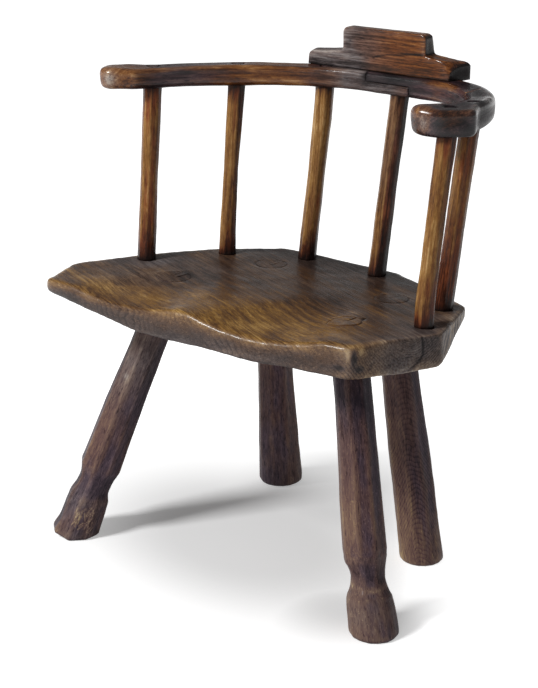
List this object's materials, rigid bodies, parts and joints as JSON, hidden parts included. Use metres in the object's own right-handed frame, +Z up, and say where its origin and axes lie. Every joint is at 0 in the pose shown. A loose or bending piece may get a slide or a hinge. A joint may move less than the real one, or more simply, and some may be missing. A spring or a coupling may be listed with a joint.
{
  "type": "stick armchair",
  "caption": "Low wooden stick armchair with a saddled plank seat, splayed socketed legs, straight sticks, a lapped arm bow and a stepped crest.",
  "frame": {"origin": "on the floor, under the middle of the chair's bounding box", "axes": "+Z up, +X to the right as seen from in front of the chair, +Y from its front to its back"},
  "size_m": [0.6238, 0.4262, 0.7429],
  "materials": {
    "seat": "waxed, worn pale along the front",
    "legs": "dark, dry, lightly scratched",
    "sticks": "shaved and polished by handling",
    "arms": "worn smooth with grey dry patches",
    "crest": "waxed, with dark end grain",
    "wedges": "flush and dark with wax"
  },
  "bodies": {
    "root": {"seat": "seat", "front_left_leg": "legs", "front_right_leg": "legs", "rear_left_leg": "legs", "rear_right_leg": "legs", "left_front_stick": "sticks", "left_middle_stick": "sticks", "left_back_stick": "sticks", "right_back_stick": "sticks", "right_middle_stick": "sticks", "right_front_stick": "sticks", "left_arm": "arms", "right_arm": "arms", "crest": "crest", "leg_wedges": "wedges", "stick_wedges": "wedges", "crest_pegs": "wedges"}
  },
  "joints": []
}
